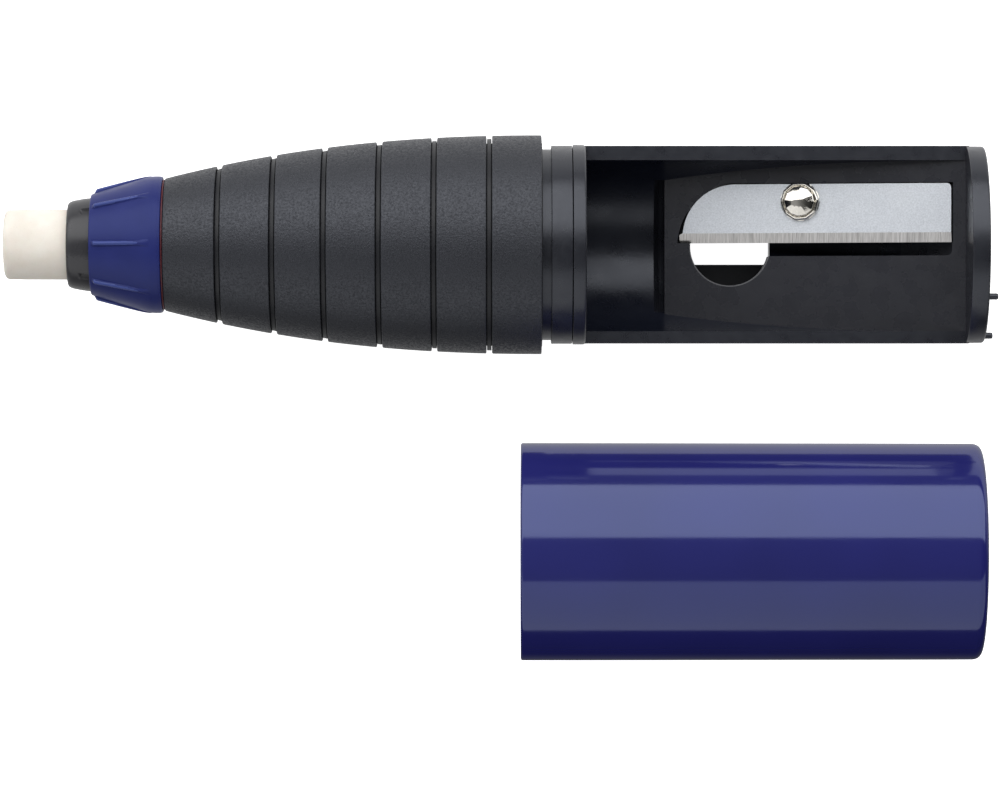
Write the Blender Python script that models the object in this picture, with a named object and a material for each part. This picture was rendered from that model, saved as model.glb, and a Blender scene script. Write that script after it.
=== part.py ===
"""A twist-up stick eraser with a built-in pencil sharpener and a slip-on shavings sleeve.

The pen-shaped handle lies along X with its eraser towards -X. Turning the ribbed ring winds the
eraser in and out; the tail carries a wedge sharpener in an open trough. The sleeve that covers the
trough is off and lies beside the handle. Metres, +Z up, both bodies resting on the plane z = 0.
"""

import math

import bmesh
import bpy
from mathutils import Matrix, Vector

MM = 0.001

# Driving dimensions: the handle's outside, measured along its own axis from the bounding box's centre
GRIP_RADIUS = 9.84 * MM  # largest radius, at the rear of the grip
GRIP_REAR = 3.87 * MM
GRIP_FRONT = -29.95 * MM
GRIP_TAPER_LENGTH = 33.72 * MM
GRIP_TAPER_DROP = 3.86 * MM
GRIP_TAPER_POWER = 2.23
GROOVE_CENTRES = [x * MM for x in (-25.05, -20.15, -15.57, -10.68, -5.76, -0.83)]
BAND_COUNT = len(GROOVE_CENTRES) + 1
GROOVE_WIDTH = 0.5 * MM
GROOVE_DEPTH = 0.28 * MM
BAND_THICKNESS = 0.6 * MM

ERASER_TIP = -44.38 * MM
ERASER_RADIUS = 3.15 * MM
ERASER_LENGTH = 34.2 * MM
NOSE_FRONT = -38.67 * MM
NOSE_FRONT_RADIUS = 3.9 * MM
NOSE_TAPER_END = -36.9 * MM
RING_FRONT = -36.6 * MM
RING_REAR = -30.15 * MM
RING_FRONT_RADIUS = 4.52 * MM
RING_RADIUS = 6.15 * MM
RING_BAND_START = -31.28 * MM
RING_RIB_COUNT = 8
RING_RIB_SPAN = (-36.3 * MM, -31.5 * MM)
RING_RIB_HALF_WIDTH = 0.225 * MM
RING_RIB_RISE = 0.31 * MM
RING_EDGE = 0.12 * MM
WASHER_RADIUS = 5.84 * MM
WASHER_GAP = 0.03 * MM
KEY_SPAN = (-34.0 * MM, -30.7 * MM)  # the keys that turn the guide tube with the ring
KEY_WIDTH = 0.6 * MM
KEY_REACH = 4.55 * MM

NECK_RADIUS = 8.58 * MM
NECK_END = 4.72 * MM
COLLAR_RADIUS = 8.91 * MM
COLLAR_END = 6.61 * MM
SPIGOT_RADIUS = 7.0 * MM  # the housing's spigot inside the barrel's rear
SPIGOT_FRONT = 4.2 * MM
SPIGOT_WALL = 1.2 * MM

# The sharpener housing
HOUSING_FRONT = 6.66 * MM
HOUSING_COLLAR_RADIUS = 8.97 * MM
TROUGH_FRONT = 7.83 * MM
TROUGH_RADIUS = 8.89 * MM
TROUGH_INNER_RADIUS = 7.82 * MM
TROUGH_LIP_HEIGHT = 0.5 * MM  # above the handle's axis
BLOCK_FRONT = 15.06 * MM
BLOCK_FRONT_HEIGHT = -4.75 * MM
SLANT_ANGLE = math.radians(10.7)
FLOOR_GROOVE_LENGTH = 0.92 * MM
FLOOR_GROOVE_HALF_WIDTH = 6.05 * MM
TAIL_FRONT = 41.98 * MM
TAIL_REAR = 43.6 * MM
TAIL_RADIUS = 8.84 * MM
PEG_LENGTH = 0.78 * MM
PEG_RADIUS = 0.285 * MM
PEG_PITCH_RADIUS = 8.2 * MM
PEG_ANGLES = (math.radians(125.6), math.radians(176.5))  # from +Y towards +Z

# The pencil's conical bore, below the handle's axis
BORE_DROP = 4.45 * MM
BORE_TIP = 16.9 * MM
BORE_RADIUS = 3.75 * MM

# The blade, its pocket and its screw, in plan on the slanted face
BLADE_THICKNESS = 0.5 * MM
BLADE_REAR = 40.7 * MM
BLADE_TOP = 5.6 * MM
BLADE_EDGE = 0.22 * MM
BLADE_GROUND_WIDTH = 0.93 * MM  # the bevel along the cutting edge
BLADE_ARC_CENTRE = (22.45 * MM, -0.28 * MM)
BLADE_ARC_RADIUS = 6.12 * MM
POCKET_DEPTH = 0.58 * MM
POCKET_MARGIN = 0.12 * MM
POCKET_EDGE = -0.85 * MM
POCKET_GAP_DEPTH = 2.6 * MM
CHIP_HOLE_X = 20.86 * MM
CHIP_HOLE_Y = -0.19 * MM
CHIP_HOLE_RADIUS = 3.64 * MM
CHIP_HOLE_FLOOR = -6.3 * MM
CHIP_SLOT_HALF_WIDTH = 1.81 * MM
CHIP_SLOT_SPAN = (16.9 * MM, 25.0 * MM)
SCREW_X = 27.15 * MM
SCREW_Y = 4.0 * MM
SCREW_HEAD_RADIUS = 1.72 * MM
SCREW_SHANK_RADIUS = 0.95 * MM
SCREW_LENGTH = 3.6 * MM
SCREW_HEAD_HEIGHT = 0.98 * MM

# The twist mechanism: two lugs on the carrier run in straight slots of the guide tube and in
# helical slots of the fixed helix sleeve
TUBE_OUTER = 4.2 * MM
TUBE_INNER = 3.7 * MM
NOSE_BORE = 3.3 * MM
TUBE_REAR = 2.9 * MM
CLIP_GROOVE = (1.7 * MM, 2.35 * MM)
CLIP_GROOVE_DEPTH = 0.25 * MM
CARRIER_RADIUS = 3.6 * MM
CARRIER_BORE = 3.25 * MM
CARRIER_FRONT = -16.0 * MM
CARRIER_REAR = -8.5 * MM
LUG_X = -9.2 * MM
LUG_RADIUS = 0.65 * MM
LUG_REACH = 4.9 * MM
FEED_OUT = 12.5 * MM
FEED_IN = 5.5 * MM
SLOT_END_PLAY = 1.0 * MM
SLOT_WIDTH = 1.7 * MM
HELIX_PITCH = 18.0 * MM
HELIX_STARTS = 2
HELIX_INNER = 4.3 * MM
HELIX_OUTER = 5.05 * MM
HELIX_FRONT = -24.2 * MM
HELIX_REAR = 0.9 * MM
HELIX_COLUMNS = 18
HELIX_SLOT_COLUMNS = 3
STOP_RADIUS = 4.95 * MM  # of the thrust washer and the clip behind the helix sleeve

# The sleeve, lying beside the handle
SLEEVE_OFFSET = 27.6 * MM
SLEEVE_RADIUS = 9.775 * MM
SLEEVE_TAIL_RADIUS = 9.71 * MM
SLEEVE_INNER = 9.06 * MM
SLEEVE_MOUTH = 2.0 * MM
SLEEVE_TAIL = 43.4 * MM
SLEEVE_END_WALL = 1.0 * MM
SLEEVE_END_ROUND = 0.8 * MM
SLEEVE_HOLE_RADIUS = 3.9 * MM

GAP = 0.1 * MM  # between pieces that are pressed or moulded together
FINE = 48  # facets round the big turned pieces
MEDIUM = 36
SMALL = 24
TINY = 12
FAR = 20 * MM  # further out than any piece, for cutters

HANDLE_Y = (SLEEVE_OFFSET + SLEEVE_RADIUS - GRIP_RADIUS) / 2
SLEEVE_Y = HANDLE_Y - SLEEVE_OFFSET


def clear_scene():
    for item in list(bpy.data.objects):
        bpy.data.objects.remove(item, do_unlink=True)


def material(name, colour, roughness, metallic=0.0):
    made = bpy.data.materials.new(name)
    made.use_nodes = True
    shader = made.node_tree.nodes["Principled BSDF"]
    shader.inputs["Base Color"].default_value = (*colour, 1.0)
    shader.inputs["Roughness"].default_value = roughness
    shader.inputs["Metallic"].default_value = metallic
    return made


def axis_empty(name, x, y, z):
    empty = bpy.data.objects.new(name, None)
    empty.location = (x, y, z)
    empty.empty_display_size = 5 * MM
    bpy.context.collection.objects.link(empty)
    return empty


def add_object(name, bm, parent, finish=None, sharp_angle=30):
    """Links a new object; with no finish it is a cutter or a guide."""
    bmesh.ops.recalc_face_normals(bm, faces=bm.faces)
    mesh = bpy.data.meshes.new(name)
    bm.to_mesh(mesh)
    bm.free()
    made = bpy.data.objects.new(name, mesh)
    bpy.context.collection.objects.link(made)
    made.parent = parent
    if finish is None:
        made.hide_render = True
        made.display_type = "WIRE"
    else:
        mesh.materials.append(finish)
        mesh.shade_smooth()
        mesh.set_sharp_from_angle(angle=math.radians(sharp_angle))
    return made


def turned(profile, facets):
    """A solid turned about X. The profile is a list of (x, radius); one that starts and ends on
    the axis makes a solid piece, and one that stays off it closes into a ring."""
    bm = bmesh.new()
    rings = []
    for x, radius in profile:
        if radius == 0:
            rings.append([bm.verts.new((x, 0, 0))])
            continue
        angles = [2 * math.pi * k / facets for k in range(facets)]
        rings.append([bm.verts.new((x, radius * math.cos(a), radius * math.sin(a))) for a in angles])
    pairs = list(zip(rings, rings[1:]))
    if profile[0][1] > 0:
        pairs.append((rings[-1], rings[0]))
    for first, second in pairs:
        for k in range(facets):
            after = (k + 1) % facets
            corners = [first[k % len(first)], first[after % len(first)]]
            corners += [second[after % len(second)], second[k % len(second)]]
            bm.faces.new(list(dict.fromkeys(corners)))
    return bm


def rod(start, end, radius, facets):
    """A solid cylinder along X."""
    return turned([(start, 0), (start, radius), (end, radius), (end, 0)], facets)


def prism(outline, low, high):
    """An outline in X and Y, extruded from low to high in Z."""
    bm = bmesh.new()
    bottom = [bm.verts.new((x, y, low)) for x, y in outline]
    top = [bm.verts.new((x, y, high)) for x, y in outline]
    bm.faces.new(bottom)
    bm.faces.new(top)
    for k in range(len(outline)):
        after = (k + 1) % len(outline)
        bm.faces.new((bottom[k], bottom[after], top[after], top[k]))
    return bm


def rectangle(x0, x1, y0, y1):
    return [(x0, y0), (x1, y0), (x1, y1), (x0, y1)]


def arc(centre, radius, start, end, steps):
    """Points on an arc, angles in degrees."""
    angles = [math.radians(start + (end - start) * k / steps) for k in range(steps + 1)]
    return [(centre[0] + radius * math.cos(a), centre[1] + radius * math.sin(a)) for a in angles]


def upright_prism(outline, half_depth):
    """An outline in X and Z, extruded both ways along Y."""
    bm = prism(outline, -half_depth, half_depth)
    bmesh.ops.rotate(bm, verts=bm.verts, matrix=Matrix.Rotation(math.pi / 2, 3, "X"))
    return bm


def moved(bm, matrix):
    bmesh.ops.transform(bm, matrix=matrix, verts=bm.verts)
    return bm


def combine(target, tool, operation):
    step = target.modifiers.new(tool.name, "BOOLEAN")
    step.operation = operation
    step.solver = "EXACT"
    step.object = tool


def cut(target, name, bm):
    combine(target, add_object(name, bm, target.parent), "DIFFERENCE")


def join(target, name, bm):
    combine(target, add_object(name, bm, target.parent), "UNION")


def grip_radius(x):
    """The grip's outside: a barrel that swells towards its rear end."""
    part = max(0.0, (GRIP_REAR - x) / GRIP_TAPER_LENGTH)
    return GRIP_RADIUS - GRIP_TAPER_DROP * part**GRIP_TAPER_POWER


def band_ends(index):
    front = GROOVE_CENTRES[index - 1] + GROOVE_WIDTH / 2 if index else GRIP_FRONT
    last = index == len(GROOVE_CENTRES)
    return front, GRIP_REAR if last else GROOVE_CENTRES[index] - GROOVE_WIDTH / 2


def on_slant(x):
    """The distance along the slanted face of a point that stands at x in plan."""
    return (x - BLOCK_FRONT) / math.cos(SLANT_ANGLE)


def slant_frame():
    """Local X runs up the slanted face, and local Z stands square to it."""
    place = Matrix.Translation((BLOCK_FRONT, 0, BLOCK_FRONT_HEIGHT))
    return place @ Matrix.Rotation(-SLANT_ANGLE, 4, "Y")


def eraser_stick(axis, finish):
    round_off = 0.5 * MM
    profile = [
        (ERASER_TIP, 0),
        (ERASER_TIP, ERASER_RADIUS - round_off),
        (ERASER_TIP + round_off, ERASER_RADIUS),
        (ERASER_TIP + ERASER_LENGTH, ERASER_RADIUS),
        (ERASER_TIP + ERASER_LENGTH, 0),
    ]
    add_object("eraser_stick", turned(profile, SMALL), axis, finish)


def eraser_carrier(axis, finish):
    floor = ERASER_TIP + ERASER_LENGTH + 3 * GAP
    profile = [
        (floor, 0),
        (floor, CARRIER_BORE),
        (CARRIER_FRONT, CARRIER_BORE),
        (CARRIER_FRONT, CARRIER_RADIUS),
        (CARRIER_REAR, CARRIER_RADIUS),
        (CARRIER_REAR, 0),
    ]
    carrier = add_object("eraser_carrier", turned(profile, SMALL), axis, finish)
    across = Matrix.Translation((LUG_X, 0, 0)) @ Matrix.Rotation(math.pi / 2, 4, "Z")
    join(carrier, "carrier_lugs", moved(rod(-LUG_REACH, LUG_REACH, LUG_RADIUS, TINY), across))


def guide_tube(axis, finish):
    groove_front, groove_rear = CLIP_GROOVE
    groove_radius = TUBE_OUTER - CLIP_GROOVE_DEPTH
    nose_rear, nose_round = -37.2 * MM, 0.4 * MM
    profile = [
        (NOSE_FRONT, NOSE_BORE),
        (NOSE_FRONT, NOSE_FRONT_RADIUS - nose_round),
        (NOSE_FRONT + nose_round, NOSE_FRONT_RADIUS),
        (NOSE_TAPER_END, TUBE_OUTER),
        (groove_front, TUBE_OUTER),
        (groove_front, groove_radius),
        (groove_rear, groove_radius),
        (groove_rear, TUBE_OUTER),
        (TUBE_REAR, TUBE_OUTER),
        (TUBE_REAR, TUBE_INNER),
        (nose_rear, TUBE_INNER),
        (nose_rear, NOSE_BORE),
    ]
    tube = add_object("guide_tube", turned(profile, SMALL), axis, finish)
    front, rear = LUG_X - FEED_OUT - SLOT_END_PLAY, LUG_X + FEED_IN + SLOT_END_PLAY
    slot = prism(rectangle(front, rear, -FAR, FAR), -SLOT_WIDTH / 2, SLOT_WIDTH / 2)
    cut(tube, "tube_slots", slot)
    key = prism(rectangle(*KEY_SPAN, -KEY_WIDTH / 2, KEY_WIDTH / 2), -KEY_REACH, KEY_REACH)
    key_tool = add_object("tube_keys", key, axis)
    core = rod(-2 * FAR, FAR, (TUBE_INNER + TUBE_OUTER) / 2, SMALL)
    combine(key_tool, add_object("tube_keys_core", core, axis), "DIFFERENCE")
    combine(tube, key_tool, "UNION")


def twist_ring(axis, finish):
    bore = TUBE_OUTER + GAP
    profile = [
        (RING_FRONT, bore),
        (RING_FRONT, RING_FRONT_RADIUS - RING_EDGE),
        (RING_FRONT + RING_EDGE, RING_FRONT_RADIUS),
        (RING_BAND_START, RING_RADIUS),
        (RING_REAR - RING_EDGE, RING_RADIUS),
        (RING_REAR, RING_RADIUS - RING_EDGE),
        (RING_REAR, bore),
    ]
    ring = add_object("twist_ring", turned(profile, FINE), axis, finish)
    for k in range(RING_RIB_COUNT):
        join(ring, f"ring_rib_{k + 1}", ring_rib(2 * math.pi * k / RING_RIB_COUNT))
    width, reach = KEY_WIDTH / 2 + GAP, KEY_REACH + GAP
    groove = prism(rectangle(KEY_SPAN[0] - GAP, -FAR, -width, width), -reach, reach)
    cut(ring, "ring_key_grooves", groove)


def ring_rib(turn):
    """A low straight rib that stands off the cone in front and runs out at the band."""
    start, end = RING_RIB_SPAN
    root, foot, lead = 0.6 * MM, 0.1 * MM, 0.3 * MM
    slope = (RING_RADIUS - RING_FRONT_RADIUS) / (RING_BAND_START - RING_FRONT)

    def cone(x):
        return RING_FRONT_RADIUS + (x - RING_FRONT) * slope

    side = [
        (start, cone(start) - root / 2),
        (end, cone(end) - root),
        (end, cone(end) + foot / 5),
        (start + lead, cone(start) + RING_RIB_RISE),
        (start, cone(start) + foot),
    ]
    return moved(upright_prism(side, RING_RIB_HALF_WIDTH), Matrix.Rotation(turn, 4, "X"))


def washer(name, front, rear, outer, facets, axis, finish):
    """A flat ring that turns freely on the guide tube."""
    inner = TUBE_OUTER + GAP
    profile = [(front, inner), (front, outer), (rear, outer), (rear, inner)]
    add_object(name, turned(profile, facets), axis, finish)


def retaining_clip(axis, finish):
    """An open snap ring in the groove at the rear of the guide tube."""
    inner = TUBE_OUTER - CLIP_GROOVE_DEPTH + 0.07 * MM
    opening, steps, end_play = 25, 20, 0.08 * MM
    outline = arc((0, 0), STOP_RADIUS, 90 + opening, 450 - opening, steps)
    outline += arc((0, 0), inner, 450 - opening, 90 + opening, steps)
    clip = prism(outline, CLIP_GROOVE[0] + end_play, CLIP_GROOVE[1] - end_play)
    upright = Matrix.Rotation(math.pi / 2, 4, "Y")
    add_object("retaining_clip", moved(clip, upright), axis, finish)


def helix_sleeve(axis, finish):
    """A tube with two helical slots. Its facets are split along the diagonal that the slots
    follow, so each slot's edge runs from corner to corner of the facets."""
    step = HELIX_PITCH / HELIX_COLUMNS
    front = LUG_X - FEED_OUT - SLOT_END_PLAY
    rows = round((FEED_OUT + FEED_IN + 2 * SLOT_END_PLAY) / step)
    stations = [HELIX_FRONT] + [front + step * k for k in range(rows + 1)] + [HELIX_REAR]
    bm = bmesh.new()

    def skin(radius):
        grid = []
        for x in stations:
            angles = [2 * math.pi * k / HELIX_COLUMNS for k in range(HELIX_COLUMNS)]
            grid.append([bm.verts.new((x, radius * math.cos(a), radius * math.sin(a))) for a in angles])
        return grid

    outer, inner = skin(HELIX_OUTER), skin(HELIX_INNER)
    lug_row = (LUG_X - front) / step
    first_column = round(lug_row - HELIX_SLOT_COLUMNS / 2)
    spacing = HELIX_COLUMNS // HELIX_STARTS
    kept = []
    for row in range(len(stations) - 1):
        slotted = 1 <= row <= rows
        for column in range(HELIX_COLUMNS):
            after = (column + 1) % HELIX_COLUMNS
            halves = (
                (column, [(row, column), (row, after), (row + 1, column)]),
                (column + 1, [(row, after), (row + 1, after), (row + 1, column)]),
            )
            for place, corners in halves:
                across = (place - first_column + row - 1) % spacing
                if not (slotted and across < HELIX_SLOT_COLUMNS):
                    kept.append(corners)
    close_shell(bm, outer, inner, kept)
    add_object("helix_sleeve", bm, axis, finish)


def close_shell(bm, outer, inner, faces):
    """Makes both skins of a thick sheet, and the walls round its openings and ends."""
    sides = {}
    for corners in faces:
        bm.faces.new([outer[i][j] for i, j in corners])
        bm.faces.new([inner[i][j] for i, j in reversed(corners)])
        for a, b in zip(corners, corners[1:] + corners[:1]):
            sides[(a, b)] = True
    for a, b in sides:
        if (b, a) not in sides:
            bm.faces.new([outer[b[0]][b[1]], outer[a[0]][a[1]], inner[a[0]][a[1]], inner[b[0]][b[1]]])


def barrel_core(axis, finish):
    bearing, helix_seat = TUBE_OUTER + GAP, HELIX_OUTER + GAP
    spigot_seat, spigot_floor = SPIGOT_RADIUS + GAP, 3.3 * MM
    helix_floor = HELIX_FRONT - 2 * GAP
    seat = BAND_THICKNESS + GAP
    side_gap = 0.05 * MM
    profile = [(GRIP_FRONT, bearing)]
    for index in range(BAND_COUNT):
        front, rear = band_ends(index)
        start = front - side_gap if index else front
        profile += [(start, grip_radius(front) - seat), (rear + side_gap, grip_radius(rear) - seat)]
        if index < BAND_COUNT - 1:
            next_front = band_ends(index + 1)[0]
            profile += [
                (rear + side_gap, grip_radius(rear) - GROOVE_DEPTH),
                (next_front - side_gap, grip_radius(next_front) - GROOVE_DEPTH),
            ]
    profile += [
        (GRIP_REAR + side_gap, NECK_RADIUS),
        (NECK_END, NECK_RADIUS),
        (NECK_END, COLLAR_RADIUS),
        (COLLAR_END, COLLAR_RADIUS),
        (COLLAR_END, spigot_seat),
        (spigot_floor, spigot_seat),
        (spigot_floor, helix_seat),
        (helix_floor, helix_seat),
        (helix_floor, bearing),
    ]
    add_object("barrel_core", turned(profile, MEDIUM), axis, finish)


def grip_bands(axis, finish):
    for index in range(BAND_COUNT):
        front, rear = band_ends(index)
        profile = [
            (front, grip_radius(front) - BAND_THICKNESS),
            (front, grip_radius(front)),
            (rear, grip_radius(rear)),
            (rear, grip_radius(rear) - BAND_THICKNESS),
        ]
        add_object(f"grip_band_{index + 1}", turned(profile, MEDIUM), axis, finish)


def sharpener_housing(axis, finish):
    hollow_end = 6.0 * MM
    profile = [
        (hollow_end, 0),
        (hollow_end, SPIGOT_RADIUS - SPIGOT_WALL),
        (SPIGOT_FRONT, SPIGOT_RADIUS - SPIGOT_WALL),
        (SPIGOT_FRONT, SPIGOT_RADIUS),
        (HOUSING_FRONT, SPIGOT_RADIUS),
        (HOUSING_FRONT, HOUSING_COLLAR_RADIUS),
        (TROUGH_FRONT, HOUSING_COLLAR_RADIUS),
        (TROUGH_FRONT, TROUGH_RADIUS),
        (TAIL_FRONT, TROUGH_RADIUS),
        (TAIL_FRONT, TAIL_RADIUS),
        (TAIL_REAR, TAIL_RADIUS),
        (TAIL_REAR, 0),
    ]
    housing = add_object("sharpener_housing", turned(profile, FINE), axis, finish)
    opening = prism(rectangle(TROUGH_FRONT, TAIL_FRONT, -FAR, FAR), TROUGH_LIP_HEIGHT, FAR)
    cut(housing, "trough_opening", opening)
    cut_trough(housing, axis)
    cut_blade_seat(housing)
    cut_pencil_bore(housing)
    add_pegs(housing)


def cut_trough(housing, axis):
    """Hollows the trough down to the slanted face of the sharpener block."""
    radius = TROUGH_INNER_RADIUS
    hollow = add_object("trough_hollow", rod(TROUGH_FRONT, TAIL_FRONT, radius, FINE), axis)
    past = FAR / 4
    rise = math.tan(SLANT_ANGLE)
    wedge = [
        (BLOCK_FRONT, -FAR),
        (TAIL_FRONT + past, -FAR),
        (TAIL_FRONT + past, BLOCK_FRONT_HEIGHT + (TAIL_FRONT + past - BLOCK_FRONT) * rise),
        (BLOCK_FRONT, BLOCK_FRONT_HEIGHT),
    ]
    block = add_object("trough_block", upright_prism(wedge, FAR), axis)
    combine(hollow, block, "DIFFERENCE")
    combine(housing, hollow, "DIFFERENCE")
    groove_front, depth = BLOCK_FRONT - FLOOR_GROOVE_LENGTH, 0.5 * MM
    floor_groove = [
        (groove_front, radius - depth),
        (groove_front, radius + depth / 5),
        ((groove_front + BLOCK_FRONT) / 2, radius + depth),
        (BLOCK_FRONT, radius + depth / 5),
        (BLOCK_FRONT, radius - depth),
    ]
    groove = add_object("floor_groove", turned(floor_groove, FINE), axis)
    half = FLOOR_GROOVE_HALF_WIDTH
    sides = prism(rectangle(0, 2 * FAR, -half, half), -FAR, -FAR / 8)
    combine(groove, add_object("floor_groove_ends", sides, axis), "INTERSECT")
    combine(housing, groove, "DIFFERENCE")


def blade_outline(margin, edge, rear):
    """The blade's outline on the slanted face, grown by a margin."""
    top = BLADE_TOP + margin
    radius = BLADE_ARC_RADIUS + margin
    centre = BLADE_ARC_CENTRE
    start = math.degrees(math.asin((top - centre[1]) / radius))
    end = math.degrees(math.asin((BLADE_EDGE - centre[1]) / radius))
    plan = arc(centre, radius, 180 - start, 180 - end, 8)
    plan += [(plan[-1][0], edge), (rear, edge), (rear, top)]
    return [(on_slant(x), y) for x, y in plan]


def cut_blade_seat(housing):
    frame = slant_frame()
    pocket = blade_outline(POCKET_MARGIN, BLADE_EDGE - POCKET_MARGIN, BLADE_REAR + POCKET_MARGIN)
    cut(housing, "blade_pocket", moved(prism(pocket, -POCKET_DEPTH, FAR), frame))
    gap_front, gap_rear = on_slant(CHIP_HOLE_X), on_slant(BLADE_REAR + POCKET_MARGIN)
    gap = rectangle(gap_front, gap_rear, POCKET_EDGE, BLADE_EDGE)
    cut(housing, "blade_gap", moved(prism(gap, -POCKET_GAP_DEPTH, FAR), frame))
    hole = arc((CHIP_HOLE_X, CHIP_HOLE_Y), CHIP_HOLE_RADIUS, 0, 360, 28)[:-1]
    cut(housing, "chip_hole", prism(hole, CHIP_HOLE_FLOOR, 0))
    slot = rectangle(*CHIP_SLOT_SPAN, -CHIP_SLOT_HALF_WIDTH, CHIP_SLOT_HALF_WIDTH)
    cut(housing, "chip_slot", prism(slot, -FAR, CHIP_HOLE_FLOOR + 7 * GAP))
    cut(housing, "screw_pilot", moved(prism(screw_hole(), -SCREW_LENGTH - 4 * GAP, 0), frame))


def screw_hole():
    """The screw's hole, in plan on the slanted face."""
    return arc((on_slant(SCREW_X), SCREW_Y), SCREW_SHANK_RADIUS + GAP, 0, 360, TINY)[:-1]


def cut_pencil_bore(housing):
    cone_end = BORE_TIP + BORE_RADIUS / math.tan(SLANT_ANGLE)
    profile = [(BORE_TIP, 0), (cone_end, BORE_RADIUS), (3 * FAR, BORE_RADIUS), (3 * FAR, 0)]
    bore = turned(profile, MEDIUM)
    cut(housing, "pencil_bore", moved(bore, Matrix.Translation((0, 0, -BORE_DROP))))


def add_pegs(housing):
    rooted = 0.4 * MM
    for k, angle in enumerate(PEG_ANGLES):
        place = Vector((0, PEG_PITCH_RADIUS * math.cos(angle), PEG_PITCH_RADIUS * math.sin(angle)))
        peg = rod(TAIL_REAR - rooted, TAIL_REAR + PEG_LENGTH, PEG_RADIUS, TINY)
        join(housing, f"tail_peg_{k + 1}", moved(peg, Matrix.Translation(place)))


def sharpener_blade(axis, finish):
    """A flat blade, ground to a thin edge along its low side."""
    outline = blade_outline(0, BLADE_EDGE, BLADE_REAR)
    low = -POCKET_DEPTH + 0.8 * GAP
    blade = prism(outline, low, low + BLADE_THICKNESS)
    for vert in blade.verts:
        if vert.co.y < BLADE_EDGE + GAP and vert.co.z > low + BLADE_THICKNESS / 2:
            vert.co.z = low + BLADE_THICKNESS / 5
    bevel_line = bmesh.ops.bisect_plane(
        blade,
        geom=list(blade.verts) + list(blade.edges) + list(blade.faces),
        plane_co=(0, BLADE_EDGE + BLADE_GROUND_WIDTH, 0),
        plane_no=(0, 1, 0),
    )
    for item in bevel_line["geom_cut"]:
        if isinstance(item, bmesh.types.BMVert) and item.co.z > low + BLADE_THICKNESS / 4:
            item.co.z = low + BLADE_THICKNESS
    made = add_object("sharpener_blade", moved(blade, slant_frame()), axis, finish)
    cut(made, "blade_hole", moved(prism(screw_hole(), -3 * MM, 3 * MM), slant_frame()))


def blade_screw(axis, finish):
    under_head = -POCKET_DEPTH + BLADE_THICKNESS + GAP
    profile = [
        (under_head - SCREW_LENGTH, 0),
        (under_head - SCREW_LENGTH, SCREW_SHANK_RADIUS * 0.5),
        (under_head - SCREW_LENGTH + 0.8 * MM, SCREW_SHANK_RADIUS),
        (under_head, SCREW_SHANK_RADIUS),
        (under_head, SCREW_HEAD_RADIUS),
        (under_head + SCREW_HEAD_HEIGHT * 0.46, SCREW_HEAD_RADIUS * 0.96),
        (under_head + SCREW_HEAD_HEIGHT * 0.87, SCREW_HEAD_RADIUS * 0.6),
        (under_head + SCREW_HEAD_HEIGHT, 0),
    ]
    upright = Matrix.Rotation(-math.pi / 2, 4, "Y")
    place = slant_frame() @ Matrix.Translation((on_slant(SCREW_X), SCREW_Y, 0))
    add_object("blade_screw", moved(turned(profile, SMALL), place @ upright), axis, finish)


def shavings_sleeve(axis, finish):
    wall_inside = SLEEVE_TAIL - SLEEVE_END_WALL
    chamfer, corner_steps = 0.15 * MM, 3
    profile = [
        (wall_inside, 0),
        (wall_inside, SLEEVE_INNER),
        (SLEEVE_MOUTH, SLEEVE_INNER),
        (SLEEVE_MOUTH, SLEEVE_RADIUS - chamfer),
        (SLEEVE_MOUTH + chamfer, SLEEVE_RADIUS),
    ]
    for k in range(corner_steps + 1):
        angle = math.pi / 2 * k / corner_steps
        along = SLEEVE_TAIL - SLEEVE_END_ROUND * (1 - math.sin(angle))
        out = SLEEVE_TAIL_RADIUS - SLEEVE_END_ROUND * (1 - math.cos(angle))
        profile.append((along, out))
    profile.append((SLEEVE_TAIL, 0))
    sleeve = add_object("shavings_sleeve", turned(profile, FINE), axis, finish)
    hole = rod(FAR, 3 * FAR, SLEEVE_HOLE_RADIUS, MEDIUM)
    cut(sleeve, "sleeve_hole", moved(hole, Matrix.Translation((0, 0, -BORE_DROP))))


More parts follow.
